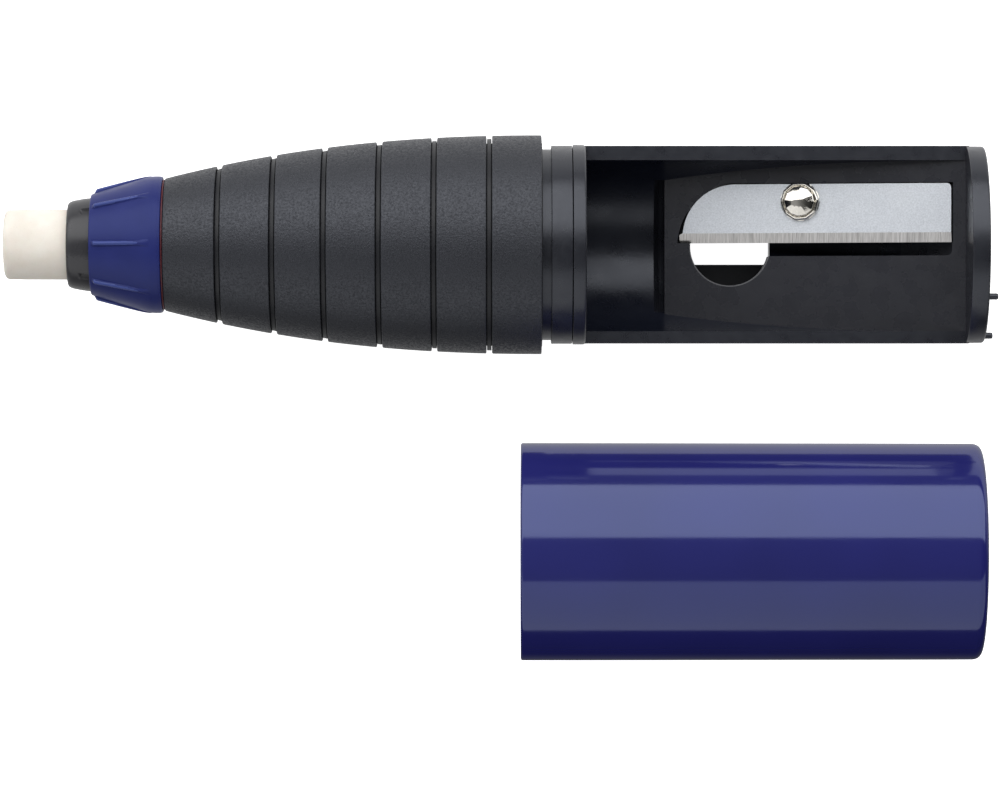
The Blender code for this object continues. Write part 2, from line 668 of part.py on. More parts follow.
def build():
    clear_scene()
    handle = axis_empty("handle_axis", 0, HANDLE_Y, GRIP_RADIUS)
    twist = axis_empty("twist_axis", 0, HANDLE_Y, GRIP_RADIUS)
    sleeve = axis_empty("sleeve_axis", 0, SLEEVE_Y, SLEEVE_RADIUS)

    charcoal = material("charcoal_plastic", (0.035, 0.037, 0.043), 0.42)
    soft_grip = material("soft_grip", (0.038, 0.04, 0.046), 0.68)
    nose_plastic = material("nose_plastic", (0.05, 0.05, 0.05), 0.4)
    ring_blue = material("ring_blue", (0.035, 0.045, 0.21), 0.32)
    sleeve_blue = material("sleeve_blue", (0.022, 0.02, 0.14), 0.12)
    eraser_cream = material("eraser_cream", (0.82, 0.77, 0.69), 0.75)
    acetal = material("white_acetal", (0.75, 0.74, 0.7), 0.45)
    washer_red = material("washer_red", (0.32, 0.02, 0.03), 0.5)
    blade_steel = material("blade_steel", (0.55, 0.57, 0.6), 0.38, 1.0)
    bright_steel = material("bright_steel", (0.7, 0.68, 0.64), 0.18, 1.0)

    eraser_stick(twist, eraser_cream)
    eraser_carrier(twist, acetal)
    guide_tube(twist, nose_plastic)
    twist_ring(twist, ring_blue)
    washer_front, washer_rear = RING_REAR + WASHER_GAP, GRIP_FRONT - WASHER_GAP
    washer("friction_washer", washer_front, washer_rear, WASHER_RADIUS, MEDIUM, twist, washer_red)
    thrust_front, thrust_rear = HELIX_REAR + 1.5 * GAP, HELIX_REAR + 6.5 * GAP
    washer("thrust_washer", thrust_front, thrust_rear, STOP_RADIUS, SMALL, twist, acetal)
    retaining_clip(twist, bright_steel)
    helix_sleeve(handle, acetal)
    barrel_core(handle, charcoal)
    grip_bands(handle, soft_grip)
    sharpener_housing(handle, charcoal)
    sharpener_blade(handle, blade_steel)
    blade_screw(handle, bright_steel)
    shavings_sleeve(sleeve, sleeve_blue)


build()
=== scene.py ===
"""A twist-up stick eraser with its sharpener sleeve lying beside it, as fine visible pieces.

Every piece stands for a node of the frame and keeps that node's place. Lengths are in millimetres
along and around the handle's own axis, and become metres in the mesh builders. +X runs from the
eraser's tip to the sharpener's tail, +Y from the sleeve to the handle, and +Z up.
"""

import math

import bmesh
import bpy
from mathutils import Matrix, Vector, noise


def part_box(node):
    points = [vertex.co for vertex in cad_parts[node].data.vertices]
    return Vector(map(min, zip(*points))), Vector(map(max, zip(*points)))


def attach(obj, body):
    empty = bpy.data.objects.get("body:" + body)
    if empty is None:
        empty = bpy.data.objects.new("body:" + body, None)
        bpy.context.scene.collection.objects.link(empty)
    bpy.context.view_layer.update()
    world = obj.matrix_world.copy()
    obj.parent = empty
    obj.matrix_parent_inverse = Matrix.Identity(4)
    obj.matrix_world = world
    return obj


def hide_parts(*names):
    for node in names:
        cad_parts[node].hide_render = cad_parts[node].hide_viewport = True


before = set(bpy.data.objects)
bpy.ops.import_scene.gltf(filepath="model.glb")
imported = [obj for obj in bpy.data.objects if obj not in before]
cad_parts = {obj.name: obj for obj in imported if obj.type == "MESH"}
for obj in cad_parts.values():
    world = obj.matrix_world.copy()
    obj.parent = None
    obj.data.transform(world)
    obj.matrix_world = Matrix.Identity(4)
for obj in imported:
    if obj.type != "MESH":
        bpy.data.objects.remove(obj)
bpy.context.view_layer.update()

MM = 0.001
TURN = 2 * math.pi


def centre_of(node):
    low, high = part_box(node)
    return (low + high) / 2


def ends_of(node):
    """Where a node starts and ends along X, in millimetres."""
    low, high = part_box(node)
    return low.x / MM, high.x / MM


axis_point = centre_of("eraser_stick")
AXIS = Vector((0, axis_point.y, axis_point.z))
sleeve_point = centre_of("shavings_sleeve")
SLEEVE_AXIS = Vector((0, sleeve_point.y, sleeve_point.z))

# The grip's barrel shape
GRIP_REAR, GRIP_RADIUS, GRIP_LENGTH, GRIP_DROP, GRIP_POWER = 3.87, 9.84, 33.72, 3.86, 2.23
GROOVE_DEPTH, BAND_THICKNESS, BAND_GAP = 0.28, 0.6, 0.05
BANDS = [f"grip_band_{k + 1}" for k in range(7)]

# The sharpener
TROUGH_FRONT, TAIL_FRONT, TAIL_REAR, TAIL_RADIUS = 7.83, 41.98, 43.6, 8.84
TROUGH_RADIUS, TROUGH_INNER, TROUGH_SHIFT, LIP_HEIGHT = 8.89, 7.71, -0.1, 0.5
BLOCK_FRONT, BLOCK_HEIGHT, SLANT = 15.06, -4.75, math.radians(10.7)
BORE_DROP, BORE_TIP, BORE_RADIUS = 4.45, 16.9, 3.75
POCKET_DEPTH, BLADE_THICKNESS = 0.58, 0.5
SCREW, SCREW_HOLE = (27.24, 3.98), 1.05
CHIP_HOLE, CHIP_RADIUS, CHIP_RIM = (20.93, -0.05), 3.55, 3.66

# Well past every piece
FAR = 40.0


# ---------------------------------------------------------------- mesh builders


def eased(points, steps=4, closed=False):
    """A polyline whose corners are rounded. Each point is (a, b) or (a, b, length to round)."""
    out = []
    count = len(points)
    for k, point in enumerate(points):
        here = Vector(point[:2])
        reach = point[2] if len(point) > 2 else 0
        if not reach or (not closed and k in (0, count - 1)):
            out.append(tuple(here))
            continue
        before = Vector(points[k - 1][:2]) - here
        after = Vector(points[(k + 1) % count][:2]) - here
        start = here + before.normalized() * min(reach, before.length * 0.49)
        end = here + after.normalized() * min(reach, after.length * 0.49)
        for step in range(steps + 1):
            t = step / steps
            mixed = start * (1 - t) ** 2 + here * 2 * t * (1 - t) + end * t**2
            out.append(tuple(mixed))
    return out


def turned(profile, columns, warp=None):
    """A solid turned about X. columns is a count, or a list of angles. A profile that starts and
    ends on the axis makes a solid piece, and one that stays off it closes into a ring."""
    angles = columns if isinstance(columns, list) else [TURN * k / columns for k in range(columns)]
    bm = bmesh.new()
    rings = []
    for x, radius in profile:
        if abs(radius) < 1e-9:
            rings.append([bm.verts.new((x * MM, 0, 0))])
            continue
        ring = []
        for angle in angles:
            along, out = warp(x, radius, angle) if warp else (x, radius)
            place = (along, out * math.cos(angle), out * math.sin(angle))
            ring.append(bm.verts.new([value * MM for value in place]))
        rings.append(ring)
    pairs = list(zip(rings, rings[1:]))
    if len(rings[0]) > 1:
        pairs.append((rings[-1], rings[0]))
    for first, second in pairs:
        for k in range(len(angles)):
            after = (k + 1) % len(angles)
            corners = [first[k % len(first)], first[after % len(first)]]
            corners += [second[after % len(second)], second[k % len(second)]]
            bm.faces.new(list(dict.fromkeys(corners)))
    bmesh.ops.recalc_face_normals(bm, faces=bm.faces)
    return bm


def rod(start, end, radius, columns):
    return turned([(start, 0), (start, radius), (end, radius), (end, 0)], columns)


def prism(outline, low, high):
    """An outline in X and Y, extruded in Z. low may be a function of x and y."""
    bm = bmesh.new()
    floor = low if callable(low) else lambda x, y: low
    bottom = [bm.verts.new((x * MM, y * MM, floor(x, y) * MM)) for x, y in outline]
    top = [bm.verts.new((x * MM, y * MM, high * MM)) for x, y in outline]
    bm.faces.new(bottom)
    bm.faces.new(top)
    for k in range(len(outline)):
        after = (k + 1) % len(outline)
        bm.faces.new((bottom[k], bottom[after], top[after], top[k]))
    bmesh.ops.recalc_face_normals(bm, faces=bm.faces)
    return bm


def rectangle(x0, x1, y0, y1):
    return [(x0, y0), (x1, y0), (x1, y1), (x0, y1)]


def arc(centre, radius, start, end, steps):
    """Points on an arc, angles in degrees."""
    angles = [math.radians(start + (end - start) * k / steps) for k in range(steps + 1)]
    return [(centre[0] + radius * math.cos(a), centre[1] + radius * math.sin(a)) for a in angles]


def shifted(bm, matrix):
    bmesh.ops.transform(bm, matrix=matrix, verts=bm.verts)
    return bm


def new_object(name, bm, at=AXIS):
    mesh = bpy.data.meshes.new(name)
    bm.to_mesh(mesh)
    bm.free()
    made = bpy.data.objects.new(name, mesh)
    made.location = at
    bpy.context.collection.objects.link(made)
    return made


def bake(piece):
    """Turns a piece's modifiers into its mesh."""
    bpy.context.view_layer.update()
    graph = bpy.context.evaluated_depsgraph_get()
    mesh = bpy.data.meshes.new_from_object(piece.evaluated_get(graph))
    piece.modifiers.clear()
    piece.data = mesh


def carve(piece, *steps):
    """Runs booleans on a piece in turn. Each step is an operation and the tool's mesh."""
    tools = []
    for operation, bm in steps:
        tool = new_object("tool", bm, piece.location)
        change = piece.modifiers.new("carve", "BOOLEAN")
        change.operation, change.solver, change.object = operation, "EXACT", tool
        tools.append(tool)
    bake(piece)
    for tool in tools:
        bpy.data.objects.remove(tool, do_unlink=True)
    return piece


def soften_edges(piece, width, angle=35, segments=3, flat=35):
    """Rounds a carved piece's sharp edges, and keeps its broad faces shading flat."""
    bm = bmesh.new()
    bm.from_mesh(piece.data)
    bmesh.ops.remove_doubles(bm, verts=bm.verts, dist=0.002 * MM)
    bmesh.ops.dissolve_limit(
        bm, angle_limit=math.radians(0.5), verts=bm.verts, edges=bm.edges, delimit={"SHARP"}
    )
    bm.to_mesh(piece.data)
    bm.free()
    bevel = piece.modifiers.new("soften", "BEVEL")
    bevel.width = width * MM
    bevel.segments = segments
    bevel.limit_method = "ANGLE"
    bevel.angle_limit = math.radians(angle)
    bevel.miter_outer = "MITER_ARC"
    bevel.use_clamp_overlap = True
    bake(piece)
    piece.data.shade_smooth()
    piece.data.set_sharp_from_angle(angle=math.radians(flat))
    flatten = piece.modifiers.new("flatten", "WEIGHTED_NORMAL")
    flatten.weight, flatten.keep_sharp = 100, True
    bake(piece)


def finish_piece(piece, materials, body, nodes, sharp=38):
    """Gives a piece its materials, shading and body, and hides the nodes that it stands for."""
    mesh = piece.data
    mesh.materials.clear()
    for made in materials if isinstance(materials, (list, tuple)) else [materials]:
        mesh.materials.append(made)
    mesh.shade_smooth()
    mesh.set_sharp_from_angle(angle=math.radians(sharp))
    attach(piece, body)
    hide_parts(*nodes)
    return piece


# ---------------------------------------------------------------- materials

WHITE = (1.0, 1.0, 1.0, 1.0)

# Tints of the gloss on the blue and on the dark plastics
COOL, STEELY = (0.60, 0.70, 1.0, 1.0), (0.86, 0.90, 1.0, 1.0)


class Nodes:
    """A material's node tree, built up node by node."""

    def __init__(self, name):
        self.made = bpy.data.materials.new(name)
        self.made.use_nodes = True
        self.tree = self.made.node_tree
        self.shader = self.tree.nodes["Principled BSDF"]
        self.place = self.add("ShaderNodeTexCoord").outputs["Object"]

    def add(self, kind, inputs=None, **settings):
        node = self.tree.nodes.new(kind)
        for key, value in settings.items():
            setattr(node, key, value)
        for key, value in (inputs or {}).items():
            self.feed(node.inputs[key], value)
        return node

    def feed(self, socket, value):
        if isinstance(value, bpy.types.NodeSocket):
            self.tree.links.new(value, socket)
        else:
            socket.default_value = value

    def stretched(self, scale):
        """The place scaled along each axis, for grain with a direction."""
        inputs = {"Vector": self.place, "Scale": scale}
        return self.add("ShaderNodeMapping", inputs).outputs["Vector"]

    def noise(self, size, detail=3.0, rough=0.5, vector=None):
        """Noise whose features are about so many millimetres across."""
        inputs = {"Vector": vector or self.place, "Scale": 1 / (size * MM)}
        inputs.update({"Detail": detail, "Roughness": rough})
        return self.add("ShaderNodeTexNoise", inputs).outputs["Fac"]

    def ramp(self, factor, stops):
        node = self.add("ShaderNodeValToRGB", {"Fac": factor})
        ramp = node.color_ramp
        while len(ramp.elements) < len(stops):
            ramp.elements.new(0.5)
        for element, (place, colour) in zip(ramp.elements, stops):
            element.position = place
            element.color = (*colour, 1.0)
        return node.outputs["Color"]

    def span(self, factor, low, high, start=0.3, end=0.7):
        """A factor carried from start..end over to low..high."""
        inputs = {"Value": factor, "From Min": start, "From Max": end}
        inputs.update({"To Min": low, "To Max": high})
        return self.add("ShaderNodeMapRange", inputs).outputs["Result"]

    def mix(self, factor, first, second):
        node = self.add("ShaderNodeMix", data_type="RGBA")
        self.feed(node.inputs["Factor"], factor)
        self.feed(node.inputs["A"], first)
        self.feed(node.inputs["B"], second)
        return node.outputs["Result"]

    def bump(self, height, depth, strength=1.0):
        inputs = {"Height": height, "Distance": depth * MM, "Strength": strength}
        return self.add("ShaderNodeBump", inputs).outputs["Normal"]

    def set(self, **values):
        """Sets or links the shader's sockets, with _ for each space in a name."""
        for key, value in values.items():
            self.feed(self.shader.inputs[key.replace("_", " ")], value)
        return self.made


def shade(colour, factor):
    return tuple(min(1.0, channel * factor) for channel in colour)


def plastic(name, colour, roughness, grain, depth, vary=0.05, shine=0.5, tint=WHITE):
    """Moulded plastic: a fine grain, with colour and gloss that vary a little over it."""
    made = Nodes(name)
    broad = made.noise(2.5, 2.0)
    fine = made.noise(grain, 4.0, 0.6)
    tone = made.ramp(broad, [(0.3, shade(colour, 1 - vary)), (0.7, shade(colour, 1 + vary))])
    gloss = made.span(made.noise(grain * 6, 3.0), roughness - 0.05, roughness + 0.05)
    made.set(Base_Color=tone, Roughness=gloss, Specular_IOR_Level=shine, Specular_Tint=tint)
    return made.set(Normal=made.bump(fine, depth))


def soft_grip_material():
    """Soft-touch rubber: a dense sandy grain whose tops catch the light."""
    made = Nodes("soft_grip_grain")
    grain = made.noise(0.19, 3.0, 0.65)
    broad = made.noise(3.0, 3.0)
    base = made.ramp(grain, [(0.32, (0.005, 0.0055, 0.0076)), (0.68, (0.0195, 0.0206, 0.0252))])
    dusty = made.ramp(broad, [(0.35, (0.0125, 0.013, 0.0162)), (0.7, (0.019, 0.0195, 0.0238))])
    tone = made.mix(0.3, base, dusty)
    gloss = made.span(grain, 0.64, 0.27, 0.36, 0.64)
    normal = made.bump(grain, 0.045, 1.0)
    made.set(Base_Color=tone, Roughness=gloss, Normal=normal)
    return made.set(Specular_Tint=STEELY, Specular_IOR_Level=0.6)


def sleeve_material():
    """Glossy deep blue plastic with a faint moulding wave and hairline wear."""
    made = Nodes("sleeve_gloss")
    wave = made.noise(9.0, 1.0)
    streaks = made.noise(0.5, 3.0, 0.6, made.stretched((0.12, 1.0, 1.0)))
    tone = made.ramp(wave, [(0.3, (0.0145, 0.0155, 0.114)), (0.7, (0.0165, 0.0175, 0.132))])
    gloss = made.span(streaks, 0.085, 0.13)
    normal = made.bump(wave, 0.02, 0.25)
    made.set(Base_Color=tone, Roughness=gloss, Normal=normal)
    return made.set(Specular_Tint=COOL, Specular_IOR_Level=0.9)


def eraser_material():
    """Vinyl eraser: chalky and matt, with fine specks and broad smudges over it."""
    made = Nodes("eraser_vinyl")
    broad = made.noise(2.2, 4.0)
    specks = made.noise(0.16, 2.0, 0.7)
    cream = made.ramp(broad, [(0.3, (0.72, 0.66, 0.58)), (0.72, (0.83, 0.79, 0.72))])
    dust = made.ramp(specks, [(0.26, (0.50, 0.45, 0.40)), (0.36, (0.83, 0.79, 0.72))])
    tone = made.mix(0.22, cream, dust)
    normal = made.bump(made.noise(0.35, 5.0, 0.65), 0.02, 0.6)
    made.set(Base_Color=tone, Roughness=made.span(specks, 0.72, 0.86), Normal=normal)
    return made.set(Subsurface_Weight=0.08, Subsurface_Scale=0.8 * MM)


def blasted_steel():
    """Bead-blasted blade steel: an even matt sparkle."""
    made = Nodes("blade_blasted")
    grain = made.noise(0.14, 3.0, 0.7)
    broad = made.noise(3.5, 3.0)
    even = made.ramp(broad, [(0.3, (0.62, 0.65, 0.70)), (0.7, (0.66, 0.69, 0.73))])
    speckle = made.ramp(grain, [(0.32, (0.52, 0.55, 0.59)), (0.68, (0.92, 0.95, 1.0))])
    tone = made.mix(0.45, even, speckle)
    gloss = made.span(grain, 0.44, 0.56)
    normal = made.bump(grain, 0.008, 0.8)
    return made.set(Base_Color=tone, Metallic=1.0, Roughness=gloss, Normal=normal)


def ground_steel():
    """The blade's ground edge: fine grinding lines straight across it."""
    made = Nodes("blade_ground")
    lines = made.noise(0.11, 3.0, 0.7, made.stretched((1.0, 0.04, 0.04)))
    tone = made.ramp(lines, [(0.3, (0.32, 0.31, 0.305)), (0.7, (0.68, 0.67, 0.66))])
    gloss = made.span(lines, 0.28, 0.42)
    normal = made.bump(lines, 0.004, 0.8)
    return made.set(Base_Color=tone, Metallic=1.0, Roughness=gloss, Normal=normal)


def nickel():
    """Polished nickel plate with faint tumbling marks."""
    made = Nodes("nickel_polish")
    marks = made.noise(0.5, 2.0)
    tone = made.ramp(marks, [(0.3, (0.66, 0.64, 0.59)), (0.7, (0.76, 0.73, 0.68))])
    gloss = made.span(made.noise(0.2, 3.0), 0.06, 0.14)
    normal = made.bump(marks, 0.02, 0.3)
    return made.set(Base_Color=tone, Metallic=1.0, Roughness=gloss, Normal=normal)


charcoal = plastic(
    "charcoal_satin", (0.011, 0.0118, 0.016), 0.31, 0.14, 0.004, shine=0.65, tint=STEELY
)
slant_finish = plastic(
    "charcoal_textured", (0.019, 0.0200, 0.026), 0.28, 0.30, 0.010, shine=0.4
)
# Near-black and dull: painted shade for the inside of the chip hole and the blade's pocket.
bore_dull_painted_shade = plastic("charcoal_bore_dull_painted_shade", (0.004, 0.0045, 0.006), 0.6, 0.3, 0.004, shine=0.15)
groove_finish = plastic(
    "charcoal_groove", (0.011, 0.0118, 0.015), 0.45, 0.3, 0.004, shine=0.35
)
# Light grey: a painted highlight along the chip hole's rim and the trough's lip edges.
rim_painted_highlight = plastic("charcoal_rim_painted_highlight", (0.110, 0.112, 0.120), 0.35, 0.3, 0.004)
trough_finish = plastic(
    "charcoal_polished", (0.005, 0.0062, 0.012), 0.30, 0.4, 0.010, tint=STEELY
)
nose_finish = plastic("nose_semi_gloss", (0.026, 0.026, 0.030), 0.30, 0.3, 0.006)
ring_finish = plastic(
    "ring_satin_gloss", (0.018, 0.024, 0.130), 0.36, 0.25, 0.004, shine=0.25, tint=COOL
)
# The rib tops: a little glossier, and a lighter blue that is a painted highlight.
rib_painted_highlight = plastic(
    "ring_rib_glossy_painted_highlight", (0.036, 0.052, 0.210), 0.30, 0.25, 0.004, tint=COOL
)
acetal = plastic("acetal_white", (0.72, 0.71, 0.67), 0.42, 0.3, 0.004, 0.03)
washer_finish = plastic("washer_red", (0.10, 0.008, 0.016), 0.5, 0.2, 0.004)
grip_finish = soft_grip_material()
sleeve_finish = sleeve_material()
eraser_finish = eraser_material()
blade_finish = blasted_steel()
edge_finish = ground_steel()
nickel_finish = nickel()


# ---------------------------------------------------------------- eraser end


def smooth(value):
    """0 below 0, 1 above 1, and an even ease between."""
    value = max(0.0, min(1.0, value))
    return value * value * (3 - 2 * value)


def off_centre(angle, spacing, offset=0.0):
    """The angle to the nearest of evenly spaced lines."""
    return (angle - offset + spacing / 2) % spacing - spacing / 2


def make_eraser():
    front, rear = ends_of("eraser_stick")
    radius = 3.15
    tip_rings = [(front, radius * k / 5) for k in (1, 2, 3)]
    outline = [(front, 0), (front, radius, 0.62), (rear, radius, 0.25), (rear, 0)]
    profile = eased(outline, 8)
    profile = [profile[0]] + tip_rings + profile[1:]
    tube = [(front + 0.8 + 0.6 * k, radius) for k in range(12)]
    cut = next(k for k, (x, _) in enumerate(profile) if x > front + 2)
    profile = profile[:cut] + tube + profile[cut:]

    def worn(x, out, angle):
        place = Vector((x * 0.5, out * math.cos(angle), out * math.sin(angle)))
        wear = noise.noise(place * 0.9) * 0.05 * smooth((front + 4 - x) / 4)
        return x + abs(wear), out - abs(wear) * 0.7

    piece = new_object("eraser_body", turned(profile, 96, worn))
    finish_piece(piece, eraser_finish, "eraser", ["eraser_stick"], 50)


def make_nose():
    """The guide tube: its moulded nose shows, and its slotted stem is inside the barrel."""
    front, rear = ends_of("guide_tube")
    outer, inner, bore = 4.2, 3.7, 3.3
    grooves_start, grooves_end, half, depth = front + 1.25, -34.4, 0.3, 0.2
    profile = eased(
        [
            (front, bore, 0.12),
            (front, 3.88, 0.7),
            (-36.9, outer, 0.5),
            (1.7, outer, 0.05),
            (1.7, outer - 0.25),
            (2.35, outer - 0.25),
            (2.35, outer, 0.05),
            (rear, outer, 0.1),
            (rear, inner, 0.05),
            (-37.2, inner),
            (-37.2, bore, 0.1),
        ],
        6,
        closed=True,
    )
    stations = [front + 0.75 + 0.12 * k for k in range(38)]
    profile = resampled(profile, stations, outer - 0.6)

    def grooved(x, out, angle):
        if out < inner + 0.15 or not grooves_start - 0.3 < x < grooves_end + 0.3:
            return x, out
        across = abs(off_centre(angle, TURN / 4, TURN / 8)) * out
        wall = 1 - smooth((across - half + 0.1) / 0.16)
        along = smooth((x - grooves_start + 0.15) / 0.3) * smooth((grooves_end - x) / 0.2)
        return x, out - depth * wall * along

    piece = new_object("guide_tube_moulded", turned(profile, 288, grooved))
    stem_slots = prism(rectangle(-22.7, -2.7, -FAR, FAR), -0.85, 0.85)
    key_piece = new_object("keys", prism(rectangle(-34.0, -30.7, -0.3, 0.3), -4.55, 4.55))
    carve(key_piece, ("DIFFERENCE", rod(-FAR * 1.5, FAR, 3.95, 64)))
    key_mesh = bmesh.new()
    key_mesh.from_mesh(key_piece.data)
    bpy.data.objects.remove(key_piece, do_unlink=True)
    carve(piece, ("DIFFERENCE", stem_slots), ("UNION", key_mesh))
    finish_piece(piece, nose_finish, "twister", ["guide_tube"])


def resampled(profile, stations, above):
    """Adds stations to a profile's long outside stretches, above a radius."""
    out = []
    count = len(profile)
    for k, (x, radius) in enumerate(profile):
        out.append((x, radius))
        x2, radius2 = profile[(k + 1) % count]
        if min(radius, radius2) < above or x2 <= x:
            continue
        for place in stations:
            if x + 0.03 < place < x2 - 0.03:
                share = (place - x) / (x2 - x)
                out.append((place, radius + (radius2 - radius) * share))
    return out


def make_ring():
    front, rear = ends_of("twist_ring")
    bore, front_radius, band_radius, band_start = 4.3, 4.52, 6.15, -31.28
    chamfer_start, chamfer = -30.42, 0.07
    profile = eased(
        [
            (front, bore, 0.05),
            (front, front_radius, 0.16),
            (band_start, band_radius, 0.9),
            (chamfer_start, band_radius, 0.06),
            (rear, band_radius - chamfer, 0.08),
            (rear, bore, 0.05),
        ],
        5,
        closed=True,
    )
    stations = [front + 0.2 + 0.09 * k for k in range(60)]
    profile = resampled(profile, stations, front_radius - 0.25)
    ribs_end = -31.15
    fine = [-5 + 0.4 * k for k in range(26)]
    coarse = [7.5 + 2.5 * k for k in range(13)]
    angles = [math.radians(45 * k + step) for k in range(8) for step in fine + coarse]

    def ribbed(x, out, angle):
        if out < front_radius - 0.1:
            return x, out
        across = abs(off_centre(angle, TURN / 8)) * out
        flare = 0.10 * smooth((x + 32.3) / 1.1)
        side = math.sqrt(max(0.0, 1 - (across / (0.22 + flare)) ** 2))
        lead = smooth((x - front - 0.22) / 0.28)
        fall = max(0.0, (ribs_end - x) / (ribs_end - front))
        rise = 0.36 * lead * fall**0.55
        return x, out + rise * side

    piece = new_object("twist_ring_moulded", turned(profile, angles, ribbed))
    keyway = prism(rectangle(-34.1, -FAR / 2, -0.4, 0.4), -4.65, 4.65)
    carve(piece, ("DIFFERENCE", keyway))
    finish_piece(piece, [ring_finish, rib_painted_highlight], "twister", ["twist_ring"], 32)
    # Faces standing out on the ribs take the lighter blue: a painted highlight along each rib top.
    slope = (band_radius - front_radius) / (band_start - front)
    for face in piece.data.polygons:
        x, y, z = face.center / MM
        stands_off = math.hypot(y, z) - front_radius - (x - front) * slope
        if front + 0.2 < x < ribs_end and stands_off > 0.14:
            face.material_index = 1


def make_washer():
    front, rear = ends_of("friction_washer")
    profile = eased([(front, 4.3), (front, 5.84, 0.03), (rear, 5.84, 0.03), (rear, 4.3)], 2, True)
    piece = new_object("friction_washer_fine", turned(profile, 160))
    finish_piece(piece, washer_finish, "twister", ["friction_washer"])


# ---------------------------------------------------------------- barrel


def grip_radius(x):
    part = max(0.0, (GRIP_REAR - x) / GRIP_LENGTH)
    return GRIP_RADIUS - GRIP_DROP * part**GRIP_POWER


def make_bands():
    steps, rounding = 8, 0.13
    for node in BANDS:
        front, rear = ends_of(node)
        skin = [front + (rear - front) * k / steps for k in range(1, steps)]
        outline = [(front, grip_radius(front) - BAND_THICKNESS)]
        outline.append((front, grip_radius(front), rounding))
        outline += [(x, grip_radius(x)) for x in skin]
        outline.append((rear, grip_radius(rear), rounding))
        outline.append((rear, grip_radius(rear) - BAND_THICKNESS))
        piece = new_object(f"{node}_soft", turned(eased(outline, 5, True), 224))
        finish_piece(piece, grip_finish, "handle", [node], 45)


def make_core():
    """The barrel: it shows as the grip's groove floors, the neck and the front collar."""
    front, rear = ends_of("barrel_core")
    bands = [ends_of(node) for node in BANDS]
    seat = BAND_THICKNESS + 0.1
    profile = [(front, 4.3)]
    for k, (start, end) in enumerate(bands):
        first = start - BAND_GAP if k else start
        profile.append((first, grip_radius(start) - seat))
        profile.append((end + BAND_GAP, grip_radius(end) - seat))
        if k < len(bands) - 1:
            following = bands[k + 1][0]
            profile.append((end + BAND_GAP, grip_radius(end) - GROOVE_DEPTH, 0.05))
            profile.append((following - BAND_GAP, grip_radius(following) - GROOVE_DEPTH, 0.05))
    profile += [
        (GRIP_REAR + BAND_GAP, 8.58, 0.05),
        (4.72, 8.58),
        (4.72, 8.91, 0.1),
        (rear, 8.91, 0.09),
        (rear, 7.1),
        (3.3, 7.1),
        (3.3, 5.15),
        (-24.4, 5.15),
        (-24.4, 4.3),
    ]
    piece = new_object("barrel_core_moulded", turned(eased(profile, 3, True), 192))
    finishes = [charcoal, groove_finish]
    finish_piece(piece, finishes, "handle", ["barrel_core"])
    for face in piece.data.polygons:
        if face.center.x / MM < GRIP_REAR + BAND_GAP:
            face.material_index = 1


# ---------------------------------------------------------------- sharpener


def slant_frame():
    """Local X runs up the slanted face, and local Z stands square to it."""
    place = Matrix.Translation((BLOCK_FRONT * MM, 0, BLOCK_HEIGHT * MM))
    return place @ Matrix.Rotation(-SLANT, 4, "Y")


def on_slant(x):
    return (x - BLOCK_FRONT) / math.cos(SLANT)


def slant_height(x):
    return BLOCK_HEIGHT + (x - BLOCK_FRONT) * math.tan(SLANT)


def slanted(outline):
    """An outline in plan, laid on the slanted face."""
    return [(on_slant(x), y) for x, y in outline]


def trough_hollow():
    """What is missing from the trough: the air above the floor and above the slanted block."""
    hollow = new_object("hollow", rod(TROUGH_FRONT, TAIL_FRONT, TROUGH_INNER, 160))
    end = TAIL_FRONT + 5
    wedge = [(BLOCK_FRONT, -FAR), (end, -FAR)]
    wedge += [(end, slant_height(end)), (BLOCK_FRONT, BLOCK_HEIGHT)]
    block = prism(wedge, -FAR, FAR)
    shifted(block, Matrix.Rotation(math.pi / 2, 4, "X"))
    carve(hollow, ("DIFFERENCE", block))
    bm = bmesh.new()
    bm.from_mesh(hollow.data)
    shifted(bm, Matrix.Translation((0, TROUGH_SHIFT * MM, 0)))
    bpy.data.objects.remove(hollow, do_unlink=True)
    return bm


def floor_groove():
    """The short dark groove across the trough's floor, just in front of the block."""
    front, radius, half = BLOCK_FRONT - 0.92, TROUGH_INNER, 6.0
    profile = [
        (front, radius - 0.5),
        (front, radius + 0.1),
        ((front + BLOCK_FRONT) / 2, radius + 0.5),
        (BLOCK_FRONT, radius + 0.1),
        (BLOCK_FRONT, radius - 0.5),
    ]
    groove = new_object("groove", turned(profile, 160))
    sides = prism(rectangle(0, FAR, -half, half), -FAR, -2.5)
    carve(groove, ("INTERSECT", sides))
    bm = bmesh.new()
    bm.from_mesh(groove.data)
    bpy.data.objects.remove(groove, do_unlink=True)
    return bm


def pocket_outline():
    """The blade's pocket: an arc at the front, cut off straight along its top."""
    centre, radius, top, rear = (22.1, -0.12), 5.9, 5.64, 40.86
    start = math.degrees(math.asin((top - centre[1]) / radius))
    plan = arc(centre, radius, 180 - start, 180 - 5, 28)
    plan += [(plan[-1][0], 0.25), (rear, 0.25), (rear, top)]
    return slanted(plan)


